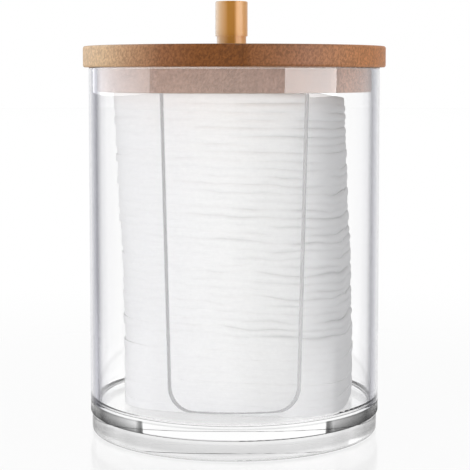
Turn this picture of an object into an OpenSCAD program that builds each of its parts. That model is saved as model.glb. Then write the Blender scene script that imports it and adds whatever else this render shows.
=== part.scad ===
// A round clear storage jar with a bamboo lid and a stack of cotton pads inside.
// Millimetres, +Z up. The origin is the centre of the underside, and the window faces -Y.

/* [Jar] */
// Outer diameter of the wall
jar_d = 84; // [82:0.5:100]
// Height from the underside to the rim
jar_h = 104.8; // [60:0.1:108]
// Thickness of the wall
wall_t = 2; // [1.5:0.1:3]
// Thickness of the clear base under the floor
base_t = 9.1; // [7:0.1:14]
// Height of the foot, up to the step where the wall starts
foot_h = 5.6; // [3:0.1:6.5]
// How far the foot stands in from the outside of the wall
foot_inset = 0.45; // [0.2:0.05:1.5]
// Rounding of the foot's lower edge
foot_edge_r = 0.9; // [0.4:0.1:2]
// Rounding of the wall's lower edge above the foot
step_edge_r = 0.3; // [0.1:0.05:0.4]
// Fillet between the floor and the wall
floor_fillet_r = 1.6; // [0.5:0.1:2]
// Rounding of the rim's inner and outer edge
rim_r = 0.3; // [0.1:0.05:0.5]

/* [Window in the wall] */
// Width across the top
window_top_w = 39.4; // [30:0.2:46]
// Width across the sill
window_sill_w = 35.2; // [26:0.2:42]
// Height of the sill above the floor
sill_h = 4; // [2:0.1:20]
// Radius of the two lower corners
window_r = 6.5; // [2:0.5:10]

/* [Lid] */
// How far the lid's disc stands out past the wall
lid_overhang = 1.6; // [0.5:0.1:6]
// Thickness of the disc
lid_t = 6; // [5.5:0.5:12]
// Rounding of the disc's two edges
lid_edge_r = 0.6; // [0.2:0.1:1.5]
// Depth of the plug that drops into the jar
plug_h = 7; // [4:0.5:15]
// Clearance between the plug and the wall, all round
plug_gap = 0.4; // [0.3:0.05:1]
// Rounding of the plug's lower edge
plug_edge_r = 0.5; // [0.2:0.1:1.5]

/* [Knob] */
// Diameter
knob_d = 9.3; // [8:0.1:16]
// Height above the lid
knob_h = 13; // [9:0.5:25]
// Rounding of the top edge
knob_edge_r = 0.4; // [0.2:0.1:2]
// How far the knob draws in at its neck
neck_in = 0.4; // [0.1:0.05:0.8]
// Height of the neck, flare included
neck_h = 3; // [2:0.1:5]
// How far the knob's bottom flares out past the neck
flare_out = 0.8; // [0.2:0.1:1.5]
// How far the knob sits from the lid's centre, along X
knob_x = -0.8; // [-10:0.1:10]
// Diameter of the tenon that holds the knob
tenon_d = 6; // [4:0.1:6.5]
// Length of the tenon in the lid
tenon_h = 4.5; // [3:0.5:5]
// Glue clearance round and under the tenon
tenon_gap = 0.1; // [0.05:0.05:0.3]

/* [Cotton pads] */
// Width of a pad
pad_w = 60; // [44:0.5:61]
// Depth of a pad
pad_d = 50; // [36:0.5:51]
// Thickness of a pad, as packed
pad_t = 2.1; // [2:0.01:3]
// Radius of a pad's corners
pad_r = 8; // [6:0.5:15]
// Clear height under each pad
pad_gap = 0.1; // [0.05:0.05:0.3]
// Least clear height between the top pad and the plug
head_gap = 0.4; // [0.3:0.1:20]
// Turn of the whole stack about the jar's axis
stack_turn = -12; // [-40:1:40]
// Pads in the lowest pile
low_pads = 10; // [6:1:14]
// Pads in the middle pile
mid_pads = 12; // [6:1:16]
// Sideways shift of the lowest pile
low_shift = 2; // [-2:0.1:2]
// Sideways shift of the middle pile
mid_shift = 1.6; // [-2:0.1:2]
// Sideways shift of the top pile
top_shift = 0.1; // [-2:0.1:2]
// Lean of the lowest pile, from its bottom to its top
low_lean = 0.2; // [-1:0.1:1]
// Lean of the middle pile
mid_lean = -0.6; // [-1:0.1:1]
// Lean of the top pile
top_lean = -1.6; // [-2:0.1:2]
// Largest stray of a single pad from its pile
pad_stray = 0.15; // [0:0.05:0.3]

/* [Hidden] */
$fn = 96;
jar_r = jar_d / 2;
inner_r = jar_r - wall_t;
foot_r = jar_r - foot_inset;
lid_r = jar_r + lid_overhang;
plug_r = inner_r - plug_gap;
plug_z = jar_h - plug_h;
lid_top_z = jar_h + lid_t;

// The window reaches up to the level of the plug's underside
window_z = base_t + sill_h;
top_angle = asin(window_top_w / 2 / jar_r);
sill_angle = asin(window_sill_w / 2 / jar_r);
side_angle = (top_angle + sill_angle) / 2;
top_x = jar_r * sin(top_angle - side_angle);
sill_x = jar_r * sin(sill_angle - side_angle);
lean = atan((top_x - sill_x) / (plug_z - window_z));
corner_z = window_z + window_r;
corner_x = sill_x + window_r * tan(lean) - window_r / cos(lean);
cut_margin = 1;

knob_r = knob_d / 2;
neck_r = knob_r - neck_in;
flare_h = 0.9;

// As many pads as fit between the floor and the plug
pad_pitch = pad_t + pad_gap;
pad_count = floor((plug_z - head_gap - base_t) / pad_pitch);
pad_edge_r = pad_t / 2;
// Unequal steps that keep the strays of neighbouring pads apart
stray_step_x = 137;
stray_step_y = 101;

// Each pile's first pad, number of pads, shift and lean
top_start = low_pads + mid_pads;
piles = [
    [0, low_pads, low_shift, low_lean],
    [low_pads, mid_pads, mid_shift, mid_lean],
    [top_start, max(1, pad_count - top_start), top_shift, top_lean],
];

function pile_of(i) = piles[i < low_pads ? 0 : i < top_start ? 1 : 2];
function pile_share(i) = (i - pile_of(i)[0] + 0.5) / pile_of(i)[1] - 0.5;
function pad_shift(i) = pile_of(i)[2] + pile_of(i)[3] * pile_share(i);
function pad_name(i) = str("pad_", i < 9 ? "0" : "", i + 1);

// What lies between a square corner and its rounding, at the lower right and at the upper right
module lower_corner(r) {
    difference() {
        square(r);
        translate([0, r]) circle(r);
    }
}

module upper_corner(r) {
    difference() {
        square(r);
        circle(r);
    }
}

module disc_profile(r, h, top_edge_r, low_edge_r) {
    difference() {
        square([r, h]);
        if (top_edge_r > 0) translate([r - top_edge_r, h - top_edge_r]) upper_corner(top_edge_r);
        if (low_edge_r > 0) translate([r - low_edge_r, 0]) lower_corner(low_edge_r);
    }
}

module jar_profile() {
    disc_profile(foot_r, foot_h, 0, foot_edge_r);
    translate([0, foot_h]) disc_profile(jar_r, base_t - foot_h, 0, step_edge_r);
    translate([inner_r - floor_fillet_r, base_t]) lower_corner(floor_fillet_r);
    difference() {
        translate([inner_r, base_t]) square([wall_t, jar_h - base_t]);
        translate([jar_r - rim_r, jar_h - rim_r]) upper_corner(rim_r);
        translate([inner_r + rim_r, jar_h - rim_r]) mirror([1, 0]) upper_corner(rim_r);
    }
}

// One half of the window, cut square to the wall at its side, where x = 0 is the side's middle
module window_half() {
    translate([0, 0, inner_r * cos(side_angle) - cut_margin])
        linear_extrude(jar_r - inner_r * cos(side_angle) + 2 * cut_margin) {
            polygon([
                [-jar_r * sin(side_angle), window_z],
                [corner_x, window_z],
                [corner_x + window_r * cos(lean), corner_z - window_r * sin(lean)],
                [top_x, plug_z],
                [-jar_r * sin(side_angle), plug_z],
            ]);
            translate([corner_x, corner_z]) circle(window_r);
        }
}

module window() {
    rotate([0, 0, side_angle]) rotate([90, 0, 0]) window_half();
    mirror([1, 0, 0]) rotate([0, 0, side_angle]) rotate([90, 0, 0]) window_half();
}

module jar() {
    color([0.88, 0.92, 0.96, 0.35]) difference() {
        rotate_extrude() jar_profile();
        window();
    }
}

module lid_disc() {
    color([0.70, 0.50, 0.35]) difference() {
        translate([0, 0, jar_h]) rotate_extrude() disc_profile(lid_r, lid_t, lid_edge_r, lid_edge_r);
        translate([knob_x, 0, lid_top_z - tenon_h - tenon_gap])
            cylinder(d = tenon_d + 2 * tenon_gap, h = tenon_h + tenon_gap + cut_margin);
    }
}

module lid_plug() {
    color([0.66, 0.50, 0.42])
        translate([0, 0, plug_z]) rotate_extrude() disc_profile(plug_r, plug_h, 0, plug_edge_r);
}

// The knob's body stands on a slimmer neck, which flares out where it meets the lid
module knob_profile() {
    translate([0, neck_h]) disc_profile(knob_r, knob_h - neck_h, knob_edge_r, 0);
    polygon([[0, 0], [neck_r + flare_out, 0], [neck_r, flare_h], [neck_r, neck_h], [0, neck_h]]);
}

module knob() {
    color([0.80, 0.60, 0.42]) translate([knob_x, 0, lid_top_z]) {
        rotate_extrude() knob_profile();
        translate([0, 0, -tenon_h]) cylinder(d = tenon_d, h = tenon_h + neck_h);
    }
}

// A quarter of a disc with a half-round edge, for a pad's corner
module pad_corner() {
    rotate_extrude(angle = 90) {
        square([pad_r - pad_edge_r, pad_t]);
        intersection() {
            translate([pad_r - pad_edge_r, pad_edge_r]) circle(pad_edge_r);
            translate([pad_r - pad_edge_r, 0]) square([pad_edge_r, pad_t]);
        }
    }
}

// A straight strip with half-round long edges, centred on the pad
module pad_strip(length, width) {
    rotate([90, 0, 90]) translate([0, 0, -length / 2]) linear_extrude(length) {
        translate([pad_edge_r - width / 2, 0]) square([width - pad_t, pad_t]);
        for (side = [-1, 1]) translate([side * (width / 2 - pad_edge_r), pad_edge_r]) circle(pad_edge_r);
    }
}

module pad() {
    for (sx = [0, 1], sy = [0, 1])
        mirror([sx, 0, 0]) mirror([0, sy, 0]) translate([pad_w / 2 - pad_r, pad_d / 2 - pad_r, 0]) pad_corner();
    pad_strip(pad_w - 2 * pad_r, pad_d);
    rotate([0, 0, 90]) pad_strip(pad_d - 2 * pad_r, pad_w);
}

module placed_pad(i) {
    color([0.96, 0.96, 0.95])
        translate([pad_shift(i), 0, base_t + pad_gap + i * pad_pitch])
            rotate([0, 0, stack_turn])
                translate([pad_stray * sin(i * stray_step_x), pad_stray * sin(i * stray_step_y), 0]) pad();
}

jar();
lid_disc();
lid_plug();
knob();
for (i = [0:pad_count - 1])
    placed_pad(i);
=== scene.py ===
import math
import bmesh
import bpy
from mathutils import Euler, Matrix, Vector, noise


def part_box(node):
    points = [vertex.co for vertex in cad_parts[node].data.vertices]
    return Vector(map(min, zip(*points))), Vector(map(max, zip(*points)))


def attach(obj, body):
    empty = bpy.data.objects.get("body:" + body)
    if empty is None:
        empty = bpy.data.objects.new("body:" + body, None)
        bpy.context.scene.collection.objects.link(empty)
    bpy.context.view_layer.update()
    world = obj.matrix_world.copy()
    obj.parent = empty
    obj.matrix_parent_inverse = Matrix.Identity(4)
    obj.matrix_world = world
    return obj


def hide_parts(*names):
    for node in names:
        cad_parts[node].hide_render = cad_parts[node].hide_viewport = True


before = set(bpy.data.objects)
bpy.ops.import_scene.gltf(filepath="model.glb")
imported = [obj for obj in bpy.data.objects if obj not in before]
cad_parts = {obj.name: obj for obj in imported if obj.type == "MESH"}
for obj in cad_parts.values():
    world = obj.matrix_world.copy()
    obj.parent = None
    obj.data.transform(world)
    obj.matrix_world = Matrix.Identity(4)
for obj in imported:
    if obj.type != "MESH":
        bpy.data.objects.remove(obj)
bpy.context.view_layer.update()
print("frame loaded:", len(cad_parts), "nodes")

mm = 0.001
jarLow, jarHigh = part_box("jar")
discLow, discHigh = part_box("lid_disc")
plugLow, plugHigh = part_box("lid_plug")
knobLow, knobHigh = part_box("knob")
padNames = sorted(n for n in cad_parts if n.startswith("pad_"))
jarRadius = (jarHigh.x - jarLow.x) / 2
discRadius = (discHigh.x - discLow.x) / 2
plugRadius = (plugHigh.x - plugLow.x) / 2
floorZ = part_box(padNames[0])[0].z - 0.1 * mm  # the pads lie a hair above the jar's floor
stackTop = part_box(padNames[-1])[1].z


# Node helpers

def newMaterial(name):
    mat = bpy.data.materials.new(name)
    mat.use_nodes = True
    mat.node_tree.nodes.clear()
    out = mat.node_tree.nodes.new("ShaderNodeOutputMaterial")
    return mat, mat.node_tree, out


def addNode(tree, kind, values=None, **settings):
    node = tree.nodes.new(kind)
    for key, value in settings.items():
        setattr(node, key, value)
    for key, value in (values or {}).items():
        node.inputs[key].default_value = value
    return node


def mathNode(tree, operation, first, second=0.0, third=None, clamp=False):
    node = addNode(tree, "ShaderNodeMath", operation=operation, use_clamp=clamp)
    for slot, value in enumerate((first, second, third)):
        if value is None:
            continue
        if isinstance(value, (int, float)):
            node.inputs[slot].default_value = value
        else:
            tree.links.new(value, node.inputs[slot])
    return node.outputs[0]


def rampNode(tree, source, stops, span=(0.0, 1.0)):
    # a grey or colour for each value in the span
    low, high = span
    node = addNode(tree, "ShaderNodeValToRGB")
    elements = node.color_ramp.elements
    while len(elements) < len(stops):
        elements.new(0.5)
    for element, (place, colour) in zip(elements, stops):
        element.position = (place - low) / (high - low)
        element.color = (*colour, 1) if isinstance(colour, tuple) else (colour, colour, colour, 1)
    if span != (0.0, 1.0):
        source = mathNode(tree, "MULTIPLY_ADD", source, 1 / (high - low), -low / (high - low))
    tree.links.new(source, node.inputs["Fac"])
    return node.outputs["Color"]


def mixColour(tree, factor, first, second, blend="MIX"):
    node = addNode(tree, "ShaderNodeMix", data_type="RGBA", blend_type=blend)
    for index, value in ((0, factor), (6, first), (7, second)):
        if isinstance(value, (int, float, tuple)):
            node.inputs[index].default_value = value if index == 0 else (*value, 1)
        else:
            tree.links.new(value, node.inputs[index])
    return node.outputs[2]


def mixShader(tree, factor, first, second):
    node = addNode(tree, "ShaderNodeMixShader")
    if isinstance(factor, float):
        node.inputs[0].default_value = factor
    else:
        tree.links.new(factor, node.inputs[0])
    tree.links.new(first.outputs[0], node.inputs[1])
    tree.links.new(second.outputs[0], node.inputs[2])
    return node


def noiseNode(tree, vector, scale, detail=2.0, roughness=0.5, distortion=0.0):
    values = {"Scale": scale, "Detail": detail, "Roughness": roughness, "Distortion": distortion}
    node = addNode(tree, "ShaderNodeTexNoise", values)
    tree.links.new(vector, node.inputs["Vector"])
    return node.outputs["Fac"]


def mappingNode(tree, vector, scale=(1, 1, 1), turn=(0, 0, 0), kind="POINT"):
    turn = [math.radians(angle) for angle in turn]
    node = addNode(tree, "ShaderNodeMapping", {"Scale": scale, "Rotation": turn}, vector_type=kind)
    tree.links.new(vector, node.inputs["Vector"])
    return node.outputs["Vector"]


def splitPlace(tree, vector):
    # x, y, z and the distance from the Z axis
    parts = addNode(tree, "ShaderNodeSeparateXYZ")
    tree.links.new(vector, parts.inputs[0])
    x, y, z = parts.outputs
    squares = mathNode(tree, "ADD", mathNode(tree, "MULTIPLY", x, x), mathNode(tree, "MULTIPLY", y, y))
    return x, y, z, mathNode(tree, "SQRT", squares)


def stepAt(tree, value, edge, width=0.02 * mm):
    # 0 below the edge and 1 above it
    return mathNode(tree, "MULTIPLY_ADD", value, 1 / width, 0.5 - edge / width, clamp=True)


def invert(tree, value):
    return mathNode(tree, "SUBTRACT", 1.0, value)


# Camera, at the lid's height and tilted down a little

camera = {
    "distance": 0.4114,
    "height": 0.1029,
    "lens": 108.5,
    "shift": -0.13,
    "pictureWidth": 470,
    "horizonRow": 74,
    "axisColumn": 234.3,
}


def placeCamera():
    data = bpy.data.cameras.new("camera")
    cam = bpy.data.objects.new("camera", data)
    bpy.context.scene.collection.objects.link(cam)
    data.lens = camera["lens"]
    data.sensor_width = 36
    data.shift_y = camera["shift"]
    data.shift_x = (camera["pictureWidth"] / 2 - camera["axisColumn"]) / camera["pictureWidth"]
    pixels = camera["pictureWidth"] * camera["lens"] / data.sensor_width  # focal length in picture pixels
    below = camera["pictureWidth"] / 2 - camera["horizonRow"] + camera["shift"] * camera["pictureWidth"]
    cam.location = (0, -camera["distance"], camera["height"])
    cam.rotation_euler = Euler((math.pi / 2 - math.atan(below / pixels), 0, 0))
    data.clip_start, data.clip_end = 0.01, 20
    bpy.context.scene.camera = cam


# Light: three plain lamps and a pale sky, and two upright soft boxes that only show as gloss

lights = {
    "lamps": {
        "key": {"place": (-0.62, -0.64, 0.09), "size": (0.6, 0.16), "power": 3.7, "gloss": False},
        "fill": {"place": (0.12, -0.95, 0.08), "size": (0.9, 0.14), "power": 2.1, "gloss": False},
        "top": {"place": (0.0, 0.1, 1.1), "size": (1.0, 1.0), "power": 2.5, "gloss": False},
        "leftBox": {"place": (-0.580, 0.155, 0.488), "size": (0.97, 0.8), "power": 7.8, "gloss": True},
        "rightBox": {"place": (0.508, -0.292, 0.488), "size": (0.49, 0.8), "power": 9.2, "gloss": True},
    },
    "sky": 0.45,
}
floorLook = {
    "colour": 0.85,
    "drop": 0.1 * mm,  # the floor lies a hair under the foot
    "white": 0.93,  # how far the eye sees it as plain white near the object
    "gloss": 0.13,
    "glossRoughness": 0.12,
    "whiteFrom": 0.08,
    "whiteTo": 0.30,
}


def makeLamp(name, look):
    data = bpy.data.lights.new(name, "AREA")
    data.shape = "RECTANGLE"
    data.size, data.size_y = look["size"]
    data.energy = look["power"]
    lamp = bpy.data.objects.new(name, data)
    bpy.context.scene.collection.objects.link(lamp)
    lamp.location = look["place"]
    aim = Vector((0, 0, look["place"][2] if look["gloss"] else 0.06))
    lamp.rotation_euler = (aim - Vector(look["place"])).to_track_quat("-Z", "Y").to_euler()
    lamp.visible_camera = False
    lamp.visible_transmission = False
    lamp.visible_glossy = look["gloss"]
    lamp.visible_diffuse = not look["gloss"]


def lookingRays(tree):
    # 1 for rays that show the picture, straight, mirrored or through clear plastic
    path = addNode(tree, "ShaderNodeLightPath")
    seen = mathNode(tree, "MAXIMUM", path.outputs["Is Camera Ray"], path.outputs["Is Transmission Ray"])
    return mathNode(tree, "MAXIMUM", seen, path.outputs["Is Glossy Ray"]), path


def makeLight():
    for name, look in lights["lamps"].items():
        makeLamp(name, look)
    world = bpy.data.worlds.new("studio")
    bpy.context.scene.world = world
    world.use_nodes = True
    tree = world.node_tree
    tree.nodes.clear()
    out = addNode(tree, "ShaderNodeOutputWorld")
    seen = lookingRays(tree)[0]
    dim = addNode(tree, "ShaderNodeBackground", {"Color": (1, 1, 1, 1), "Strength": lights["sky"]})
    white = addNode(tree, "ShaderNodeBackground", {"Color": (1, 1, 1, 1), "Strength": 1.0})
    tree.links.new(mixShader(tree, seen, dim, white).outputs[0], out.inputs["Surface"])


def makeFloor():
    bm = bmesh.new()
    bmesh.ops.create_circle(bm, cap_ends=True, segments=96, radius=4.0)
    bmesh.ops.translate(bm, verts=bm.verts, vec=(0, 0, -floorLook["drop"]))
    mesh = bpy.data.meshes.new("floor")
    bm.to_mesh(mesh)
    bm.free()
    floor = bpy.data.objects.new("floor", mesh)
    bpy.context.scene.collection.objects.link(floor)
    mat, tree, out = newMaterial("paleFloor")
    grey = floorLook["colour"]
    base = addNode(tree, "ShaderNodeBsdfDiffuse", {"Color": (grey, grey, grey, 1)})
    plainWhite = addNode(tree, "ShaderNodeEmission", {"Color": (1, 1, 1, 1), "Strength": 1.0})
    gloss = addNode(tree, "ShaderNodeBsdfGlossy", {"Roughness": floorLook["glossRoughness"]})
    gloss.inputs["Color"].default_value = (1, 1, 1, 1)
    white = mixShader(tree, floorLook["gloss"], plainWhite, gloss)
    # the eye sees a white floor that keeps a little of its shadow near the object
    seen, path = lookingRays(tree)
    radius = splitPlace(tree, addNode(tree, "ShaderNodeTexCoord").outputs["Object"])[3]
    far = addNode(tree, "ShaderNodeMapRange", {
        "From Min": floorLook["whiteFrom"], "From Max": floorLook["whiteTo"], "To Min": floorLook["white"],
    }, interpolation_type="SMOOTHSTEP")
    tree.links.new(radius, far.inputs["Value"])
    plain = mathNode(tree, "MAXIMUM", far.outputs[0], path.outputs["Is Transmission Ray"])
    both = mixShader(tree, mathNode(tree, "MULTIPLY", seen, plain), base, white)
    tree.links.new(both.outputs[0], out.inputs["Surface"])
    mesh.materials.append(mat)


# Clear jar

acrylic = {
    "ior": 1.49,
    "footTop": 5.6 * mm,  # the step where the wall starts
    "wall": [  # painted reflection: the wall darkens near its edges, for the darker surroundings it bends into view, by how far it turns from the eye
        (0.40, 0.97),
        (0.52, (0.92, 0.92, 0.93)),
        (0.60, (0.79, 0.79, 0.81)),
        (0.68, (0.375, 0.375, 0.405)),
        (0.74, (0.54, 0.54, 0.58)),
        (0.86, (0.95, 0.95, 0.97)),
    ],
    "wallRight": 0.16,  # painted light: the right side is lighter
    "band": [  # painted dark reflections: the same beside the thick base, dark at both ends
        (0.254, 1.0),
        (0.264, 0.24),
        (0.280, 0.36),
        (0.300, 0.78),
        (0.37, 0.60),
        (0.46, 0.43),
        (0.54, 0.34),
        (0.62, 0.20),
        (0.80, 0.50),
        (1.00, 0.90),
    ],
    "bandRight": 0.70,  # painted shade: the right end is darker
    "bandHeight": [  # painted shade on its lower part, darker towards the bottom, by share of its height
        (0.0, 0.36),
        (0.3, 0.58),
        (0.7, 0.95),
        (1.0, 1.0),
    ],
    # painted shade: the foot's grey, by how far it turns from the eye
    "foot": [
        (0.03, 0.87),
        (0.27, 0.83),
        (0.37, 0.77),
        (0.46, 0.84),
        (0.54, 0.74),
        (0.62, 0.64),
        (0.85, 0.60),
        (0.95, 0.80),
    ],
    "lines": [  # painted shade: thin dark lines where the edges and fillets bend the light, by height in mm
        (0.0, 0.92),
        (0.7, 0.92),
        (1.2, 1.0),
        (1.6, 0.97),
        (1.9, 0.89),
        (2.4, 0.80),
        (4.4, 0.86),
        (5.0, 1.0),
        (5.55, 1.0),
        (5.6, 0.70),
        (5.9, 0.70),
        (6.1, 1.0),
        (8.6, 1.0),
        (8.8, 0.80),
        (9.05, 0.80),
        (9.2, 1.0),
    ],
    "cutFace": 0.50,  # the sawn faces of the window are a little milky
    "cutClear": [  # and clearest at their edges, by distance from the jar's axis in mm
        (40.0, 0.88),
        (40.6, 0.35),
        (41.3, 0.25),
        (42.0, 0.80),
    ],
    "cutInner": 1.95 * mm,  # where the sawn faces end, in from the wall's outside
    "cutOuter": 0.05 * mm,
    "cutAboveFloor": 2 * mm,
    "cutAbovePlug": 1 * mm,
    "skin": 0.2 * mm,  # depth of the outer skin that takes the painted light and shade
    "shadeGain": 4.0,
    "rimDepth": 0.5 * mm,
    # painted light on the rim under the lid
    "rimPaintedLight": 0.2,
}


def clearAcrylic():
    mat, tree, out = newMaterial("clearAcrylic")
    x, y, z, radius = splitPlace(tree, addNode(tree, "ShaderNodeTexCoord").outputs["Object"])
    # the wall, band and foot carry painted shade and painted reflections, by how far the surface turns from
    # the eye
    facing = addNode(tree, "ShaderNodeLayerWeight", {"Blend": 0.5}).outputs["Facing"]
    wall, band, foot = (rampNode(tree, facing, acrylic[part]) for part in ("wall", "band", "foot"))
    onRight = stepAt(tree, x, 0.0)
    wall = mixColour(tree, mathNode(tree, "MULTIPLY", onRight, acrylic["wallRight"]), wall, (1, 1, 1))
    side = mathNode(tree, "MULTIPLY_ADD", onRight, acrylic["bandRight"] - 1, 1.0)
    upTheBand = mathNode(tree, "DIVIDE", mathNode(tree, "SUBTRACT", z, acrylic["footTop"]),
                         floorZ - acrylic["footTop"])
    shade = mixColour(tree, 1.0, rampNode(tree, upTheBand, acrylic["bandHeight"]), side, "MULTIPLY")
    # the shade only counts where the band is dark
    darkness = mathNode(tree, "MULTIPLY", invert(tree, band), acrylic["shadeGain"], clamp=True)
    band = mixColour(tree, darkness, band, mixColour(tree, 1.0, band, shade, "MULTIPLY"))
    paintedLightAndShade = mixColour(tree, stepAt(tree, z, acrylic["footTop"]), foot, band)
    paintedLightAndShade = mixColour(tree, stepAt(tree, z, floorZ), paintedLightAndShade, wall)
    # painted shade lines, by height
    lines = rampNode(tree, mathNode(tree, "DIVIDE", z, mm), acrylic["lines"], (0, 12))
    paintedLightAndShade = mixColour(tree, 1.0, paintedLightAndShade, lines, "MULTIPLY")
    # only the outer skin, seen from outside, takes the painted light and shade
    outer = mathNode(tree, "MAXIMUM", stepAt(tree, radius, jarRadius - acrylic["skin"]),
                     invert(tree, stepAt(tree, z, floorZ - 0.1 * mm)))
    inward = addNode(tree, "ShaderNodeNewGeometry").outputs["Backfacing"]
    paintedLightAndShade = mixColour(tree, mathNode(tree, "MULTIPLY", outer, invert(tree, inward)), (1, 1, 1), paintedLightAndShade)
    glass = addNode(tree, "ShaderNodeBsdfGlass", {"Roughness": 0.0, "IOR": acrylic["ior"]})
    tree.links.new(paintedLightAndShade, glass.inputs["Color"])
    # the window's sawn faces lie between the wall's two skins
    cut = mathNode(tree, "MULTIPLY", stepAt(tree, radius, jarRadius - acrylic["cutInner"]),
                   invert(tree, stepAt(tree, radius, jarRadius - acrylic["cutOuter"])))
    cut = mathNode(tree, "MULTIPLY", cut, stepAt(tree, z, floorZ + acrylic["cutAboveFloor"]))
    belowTop = invert(tree, stepAt(tree, z, plugLow.z + acrylic["cutAbovePlug"]))
    cut = mathNode(tree, "MULTIPLY", cut, belowTop)
    milk = addNode(tree, "ShaderNodeBsdfDiffuse", {"Color": (*[acrylic["cutFace"]] * 3, 1)})
    through = addNode(tree, "ShaderNodeBsdfTransparent", {"Color": (0.95, 0.95, 0.96, 1)})
    clearness = rampNode(tree, mathNode(tree, "DIVIDE", radius, mm), acrylic["cutClear"], (39, 43))
    sawn = mixShader(tree, clearness, milk, through)
    solid = mixShader(tree, cut, glass, sawn)
    # painted light: a pale diffuse layer on the rim under the lid, which lightens its shade
    paintedRimLight = addNode(tree, "ShaderNodeBsdfDiffuse", {"Color": (0.9, 0.9, 0.9, 1)})
    onRim = mathNode(tree, "MULTIPLY", stepAt(tree, z, jarHigh.z - acrylic["rimDepth"]), acrylic["rimPaintedLight"])
    solid = mixShader(tree, onRim, solid, paintedRimLight)
    # light passes straight through on its way to the pads and the floor
    clear = addNode(tree, "ShaderNodeBsdfTransparent", {"Color": (0.97, 0.97, 0.98, 1)})
    path = addNode(tree, "ShaderNodeLightPath")
    lamp = mathNode(tree, "MAXIMUM", path.outputs["Is Shadow Ray"], path.outputs["Is Diffuse Ray"])
    tree.links.new(mixShader(tree, lamp, solid, clear).outputs[0], out.inputs["Surface"])
    return mat


# Bamboo lid, plug and knob

bamboo = {
    "lid": {
        "light": (0.56, 0.36, 0.20),
        "dark": (0.36, 0.20, 0.10),
        # the turned side's tone by x in mm: cut fibre ends are dark and the strips differ, with painted
        # light and shade on top, lighter towards both ends and darkest in the middle
        "side": [
            (-43, (0.51, 0.33, 0.17)), (-36, (0.48, 0.32, 0.18)), (-28, (0.34, 0.19, 0.10)),
            (-19, (0.20, 0.081, 0.033)), (-10, (0.163, 0.057, 0.015)), (3.0, (0.153, 0.052, 0.012)),
            (4.5, (0.213, 0.080, 0.027)), (14, (0.26, 0.107, 0.045)), (19, (0.32, 0.140, 0.070)),
            (30, (0.50, 0.217, 0.092)), (43, (0.62, 0.25, 0.092)),
        ],
        "strip": 15 * mm, "offset": 11 * mm, "sideRadius": discRadius,
        "mottle": 0.6, "roughness": 0.5, "specular": 0.15,
    },
    "plug": {
        "light": (0.50, 0.34, 0.25),
        "dark": (0.36, 0.22, 0.15),
        # painted light and shade: the plug's side is lighter towards both ends, brightest on the right, and
        # darker in the middle
        "side": [
            (-38, (0.44, 0.35, 0.33)), (-26, (0.42, 0.31, 0.27)), (-20, (0.36, 0.235, 0.18)),
            (0, (0.345, 0.228, 0.174)), (14, (0.38, 0.24, 0.183)), (24, (0.44, 0.31, 0.26)),
            (30, (0.70, 0.46, 0.36)), (38, (0.70, 0.48, 0.39)),
        ],
        "strip": 18 * mm, "offset": 10 * mm, "sideRadius": plugRadius,
        "mottle": 0.40, "roughness": 0.6, "specular": 0.1,
    },
    "knob": {
        "light": (0.62, 0.38, 0.19),
        "dark": (0.40, 0.19, 0.07),
        # painted light, shade and highlight: a dark stripe down the middle, lighter to the left and
        # brightest on the right
        "side": [
            (-4.6, (0.56, 0.42, 0.28)), (-3.4, (0.54, 0.34, 0.17)), (-2.2, (0.50, 0.28, 0.11)),
            (-1.0, (0.375, 0.162, 0.012)), (0.9, (0.41, 0.175, 0.016)), (1.3, (0.76, 0.39, 0.13)),
            (3.2, (0.95, 0.52, 0.20)),
        ],
        "strip": 60 * mm, "offset": 30 * mm, "sideRadius": 2.5 * mm,
        "mottle": 0.0, "roughness": 0.30, "specular": 0.3,
    },
}


woodGrain = {
    "fibres": (1400, 40, 1400),  # they run along Y
    "streaks": (420, 9, 420),
    "uprightFibres": (1500, 1500, 40),  # and up the knob
    "uprightStreaks": (500, 500, 12),
    "fibreShare": 0.45,
    "streakShare": 0.55,
    "stripShare": 0.35,  # how much of the tone the strip gives, and how much the grain
    "grainShare": 0.65,
    "glueLine": 0.12 * mm,
    "glueDark": 0.4,
    "sideDepth": 0.5 * mm,  # how deep the turned side's look reaches in
    "sideBlend": 0.4 * mm,
    "speckScale": 1500,
    "speckStretch": (0.8, 0.8, 1.3),
    "speckSlant": 24,
    "bump": 0.3,
    "bumpDepth": 0.12 * mm,
}


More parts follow.
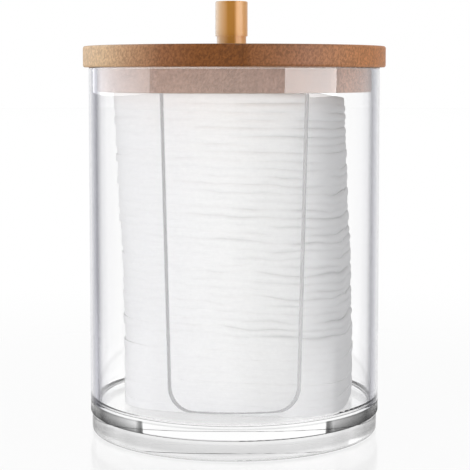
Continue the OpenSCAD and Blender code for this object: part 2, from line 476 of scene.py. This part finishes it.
def bambooMaterial(name, look):
    mat, tree, out = newMaterial(name + "Bamboo")
    place = addNode(tree, "ShaderNodeTexCoord").outputs["Object"]
    upright = name == "knob"
    centre = (-(knobLow.x + knobHigh.x) / 2, 0, 0) if upright else (0, 0, 0)
    moved = addNode(tree, "ShaderNodeVectorMath", {1: centre}, operation="ADD")
    tree.links.new(place, moved.inputs[0])
    turned = moved.outputs[0]
    x, radius = splitPlace(tree, turned)[::3]
    # the board is glued up from strips, each with a tone of its own
    count = mathNode(tree, "DIVIDE", mathNode(tree, "ADD", x, look["offset"]), look["strip"])
    random = addNode(tree, "ShaderNodeTexWhiteNoise", noise_dimensions="1D")
    tree.links.new(mathNode(tree, "FLOOR", count), random.inputs["W"])
    fibreScale = woodGrain["uprightFibres" if upright else "fibres"]
    streakScale = woodGrain["uprightStreaks" if upright else "streaks"]
    fibres = noiseNode(tree, mappingNode(tree, turned, fibreScale), 1.0, 3.0, 0.6)
    streaks = noiseNode(tree, mappingNode(tree, turned, streakScale), 1.0, 2.0, 0.5)
    streaks = mathNode(tree, "MULTIPLY", streaks, woodGrain["streakShare"])
    grain = mathNode(tree, "MULTIPLY_ADD", fibres, woodGrain["fibreShare"], streaks)
    grain = mathNode(tree, "MULTIPLY_ADD", grain, 2.0, -0.6, clamp=True)
    grainShare = mathNode(tree, "MULTIPLY", grain, woodGrain["grainShare"])
    depth = mathNode(tree, "MULTIPLY_ADD", random.outputs["Value"], woodGrain["stripShare"], grainShare)
    face = mixColour(tree, depth, look["light"], look["dark"])
    # thin glue line between strips
    edge = mathNode(tree, "PINGPONG", count, 0.5)
    line = mathNode(tree, "MULTIPLY_ADD", edge, -look["strip"] / woodGrain["glueLine"], 1.0, clamp=True)
    face = mixColour(tree, mathNode(tree, "MULTIPLY", line, woodGrain["glueDark"]), face, look["dark"])
    # the turned side shows the cut ends as fine specks
    sideFrom = look["sideRadius"] - woodGrain["sideDepth"]
    onSide = stepAt(tree, radius, sideFrom, woodGrain["sideBlend"])
    slant = (0, woodGrain["speckSlant"], 0)
    slanted = mappingNode(tree, turned, woodGrain["speckStretch"], slant, "TEXTURE")
    vessels = noiseNode(tree, slanted, woodGrain["speckScale"], 1.0, 0.5, 0.6)
    mottle = mathNode(tree, "MULTIPLY_ADD", vessels, 3.4, -1.2, clamp=True)
    mottle = mathNode(tree, "MULTIPLY_ADD", mottle, 0.8, -0.4)
    gain = mathNode(tree, "MULTIPLY_ADD", mottle, -look["mottle"], 1.0)
    gain = mathNode(tree, "MULTIPLY", gain, mathNode(tree, "MULTIPLY_ADD", grain, -0.16, 1.08))
    # painted light and shade along x on the turned side, from the part's side table
    tone = rampNode(tree, mathNode(tree, "DIVIDE", x, mm), look["side"], (-46, 46))
    side = mixColour(tree, 1.0, tone, gain, "MULTIPLY")
    colour = mixColour(tree, onSide, face, side)
    shader = addNode(tree, "ShaderNodeBsdfPrincipled", {
        "Roughness": look["roughness"], "Specular IOR Level": look["specular"],
    })
    tree.links.new(colour, shader.inputs["Base Color"])
    bump = addNode(tree, "ShaderNodeBump", {
        "Strength": woodGrain["bump"], "Distance": woodGrain["bumpDepth"],
    })
    rough = mathNode(tree, "MULTIPLY", mottle, look["mottle"])
    tree.links.new(mathNode(tree, "SUBTRACT", grain, rough), bump.inputs["Height"])
    tree.links.new(bump.outputs["Normal"], shader.inputs["Normal"])
    tree.links.new(shader.outputs[0], out.inputs["Surface"])
    return mat


# Cotton pads

cotton = {
    "colour": (0.87, 0.87, 0.865),
    "shade": (0.80, 0.80, 0.80),
    # painted shade in the seams between pads
    "seamPaintedShade": 0.09,
    "tone": [  # painted shade: the stack is a little greyer right of its middle, by x in mm
        (-32, 0.97),
        (-10, 1.0),
        (-2, 0.985),
        (8, 0.92),
        (18, 0.92),
        (27, 1.0),
    ],
}
pads = {
    "width": 63.9 * mm,
    "depth": 52 * mm,
    "squareness": 3.8,  # 2 is an oval, and more is nearer a rectangle
    "turn": -12,
    "points": 150,
    "rows": 5,
    "overlap": 0.04 * mm,
    "headGap": 0.15 * mm,  # between the top pad and the plug
    "seam": 0.36 * mm,  # how far the seam between two pads draws in
    "piles": {10: 1.6, 22: 1.6},  # the first pad of each upper pile, and how much deeper its seam is
    "lowPads": 10,
    "lowSeam": 0.22,
    "seamFrom": -18 * mm,  # by x, the seams are shallow left of here
    "seamSpan": 44 * mm,
    "seamLeast": 0.2,
    "seamNoise": 110,
    "rings": (0.98, 0.8),  # loops on a pad's flat faces, as shares of its size
    "topRings": (0.98, 0.9, 0.8, 0.7, 0.5),
    "swell": 0.20 * mm,  # slow waves round a pad's edge
    "swellNoise": 60,
    "lift": 1.3 * mm,  # the stack's left side stands higher half way up, and its right side lower
    "droop": 2.0 * mm,  # how far the top pads' right end hangs
    "droopDepth": 9 * mm,
    "droopFrom": 20 * mm,
    "droopSpan": 14 * mm,
    "ripple": 0.9 * mm,  # small waves along the seams
    "rippleNoise": (130, 130, 240),
}


def cottonMaterial():
    mat, tree, out = newMaterial("cottonWool")
    place = addNode(tree, "ShaderNodeTexCoord").outputs["Object"]
    fluff = noiseNode(tree, place, 900, 4.0, 0.65)
    hairs = noiseNode(tree, mappingNode(tree, place, (300, 300, 2200)), 1.0, 3.0, 0.6, 0.4)
    both = mathNode(tree, "MULTIPLY", mathNode(tree, "ADD", fluff, hairs), 0.5)
    tone = mathNode(tree, "MULTIPLY_ADD", both, 2.0, -0.5, clamp=True)
    colour = mixColour(tree, tone, cotton["shade"], cotton["colour"])
    # painted shade: greyer right of the stack's middle
    x = splitPlace(tree, place)[0]
    paintedShadeByX = rampNode(tree, mathNode(tree, "DIVIDE", x, mm), cotton["tone"], (-36, 36))
    colour = mixColour(tree, 1.0, colour, paintedShadeByX, "MULTIPLY")
    # painted shade, darker in the seams between pads
    crease = addNode(tree, "ShaderNodeAttribute", attribute_type="GEOMETRY", attribute_name="crease")
    dark = mathNode(tree, "MULTIPLY_ADD", crease.outputs["Fac"], -cotton["seamPaintedShade"], 1.0)
    colour = mixColour(tree, 1.0, colour, dark, "MULTIPLY")
    shader = addNode(tree, "ShaderNodeBsdfPrincipled", {
        "Roughness": 1.0, "Specular IOR Level": 0.1, "Sheen Weight": 0.1, "Sheen Roughness": 0.6,
    })
    tree.links.new(colour, shader.inputs["Base Color"])
    bump = addNode(tree, "ShaderNodeBump", {"Strength": 0.4, "Distance": 0.15 * mm})
    tree.links.new(both, bump.inputs["Height"])
    tree.links.new(bump.outputs["Normal"], shader.inputs["Normal"])
    tree.links.new(shader.outputs[0], out.inputs["Surface"])
    return mat


def onOutline(place):
    # moves a point of a circle onto a rectangle with soft corners and slightly full sides
    n = pads["squareness"]
    way = place.normalized()
    across, along = abs(way.x) * 2 / pads["width"], abs(way.y) * 2 / pads["depth"]
    return way * (across ** n + along ** n) ** (-1 / n)


def clampRange(value, low=0.0, high=1.0):
    return max(low, min(high, value))


def seamDepth(index, x):
    # seams fade out towards the stack's left side and in its lowest pile
    least = pads["seamLeast"]
    depth = least + (1 - least) * clampRange((x - pads["seamFrom"]) / pads["seamSpan"])
    depth *= 0.75 + 1.6 * noise.noise(Vector((x * pads["seamNoise"], index * 2.3, 3.1)))
    pile = pads["lowSeam"] if index < pads["lowPads"] else 1.0
    return pads["seam"] * max(depth, 0.05) * pile * pads["piles"].get(index, 1.0)


def sag(place):
    # where the whole stack has settled out of true
    height = clampRange((place.z - floorZ) / (stackTop - floorZ))
    side = clampRange(place.x / (pads["width"] / 2), -1.2, 1.2)
    lift = -side * pads["lift"] * math.sin(math.pi * height)
    right = clampRange((place.x - pads["droopFrom"]) / pads["droopSpan"]) ** 1.5
    droop = pads["droop"] * right * math.exp((place.z - stackTop) / pads["droopDepth"])
    wave = noise.noise(Vector(a * b for a, b in zip(place, pads["rippleNoise"])))
    ripple = pads["ripple"] * wave * math.sin(math.pi * height)
    return lift - droop + ripple


def makePad(name, index, material):
    low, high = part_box(name)
    isTop = index + 1 == len(padNames)
    above = plugLow.z - pads["headGap"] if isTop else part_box(padNames[index + 1])[0].z
    thick = above - low.z + pads["overlap"]
    bm = bmesh.new()
    bmesh.ops.create_circle(bm, cap_ends=True, segments=pads["points"], radius=pads["width"] / 2)
    for v in bm.verts:
        v.co = onOutline(v.co)
    made = bmesh.ops.extrude_face_region(bm, geom=bm.faces[:])
    top = [g for g in made["geom"] if isinstance(g, bmesh.types.BMFace)][0]
    bmesh.ops.translate(bm, verts=top.verts, vec=(0, 0, thick))
    bmesh.ops.recalc_face_normals(bm, faces=bm.faces)
    uprights = [e for e in bm.edges if abs(e.verts[0].co.z - e.verts[1].co.z) > thick / 2]
    bmesh.ops.subdivide_edges(bm, edges=uprights, cuts=pads["rows"], use_grid_fill=True)
    for share in pads["topRings" if isTop else "rings"]:
        caps = [f for f in bm.faces if len(f.verts) > 8]
        bmesh.ops.inset_region(bm, faces=caps, thickness=0)
        for cap in caps:
            bmesh.ops.scale(bm, verts=cap.verts, vec=(share, share, 1))
    turn = Matrix.Rotation(math.radians(pads["turn"]), 4, "Z")
    seat = Matrix.Translation(((low.x + high.x) / 2, (low.y + high.y) / 2, low.z))
    bmesh.ops.transform(bm, matrix=seat @ turn, verts=bm.verts)
    crease = bm.verts.layers.float.new("crease")
    for v in bm.verts:
        outward = Vector((v.co.x, v.co.y, 0)).normalized()
        part = (v.co.z - low.z) / thick  # 0 at the pad's underside and 1 at its top
        inset = seamDepth(index, v.co.x) * max(0, 1 - 2 * part) ** 2
        inset += seamDepth(index + 1, v.co.x) * max(0, 2 * part - 1) ** 2
        v[crease] = inset / pads["seam"]
        slow = pads["swellNoise"]
        swell = pads["swell"] * noise.noise(Vector((v.co.x * slow, v.co.y * slow, index * 1.7 + 5)))
        v.co += outward * (swell - inset)
        v.co.z += sag(v.co)
    for f in bm.faces:
        f.smooth = True
    # the flat faces don't shade the edge
    for e in bm.edges:
        e.smooth = len({f.normal.z > 0.7 or f.normal.z < -0.7 for f in e.link_faces}) == 1
    mesh = bpy.data.meshes.new(name + "_soft")
    bm.to_mesh(mesh)
    bm.free()
    pad = bpy.data.objects.new(name + "_soft", mesh)
    bpy.context.scene.collection.objects.link(pad)
    mesh.materials.append(material)
    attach(pad, "jar")
    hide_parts(name)


def setMaterial(node, material):
    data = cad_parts[node].data
    data.materials.clear()
    data.materials.append(material)


placeCamera()
makeLight()
makeFloor()
print("camera, light and floor set")

setMaterial("jar", clearAcrylic())
setMaterial("lid_disc", bambooMaterial("lid", bamboo["lid"]))
setMaterial("lid_plug", bambooMaterial("plug", bamboo["plug"]))
setMaterial("knob", bambooMaterial("knob", bamboo["knob"]))
print("jar and lid finished")

cottonLook = cottonMaterial()
for index, name in enumerate(padNames):
    makePad(name, index, cottonLook)
print("pads laid:", len(padNames))

scene = bpy.context.scene
scene.view_settings.view_transform = "Standard"
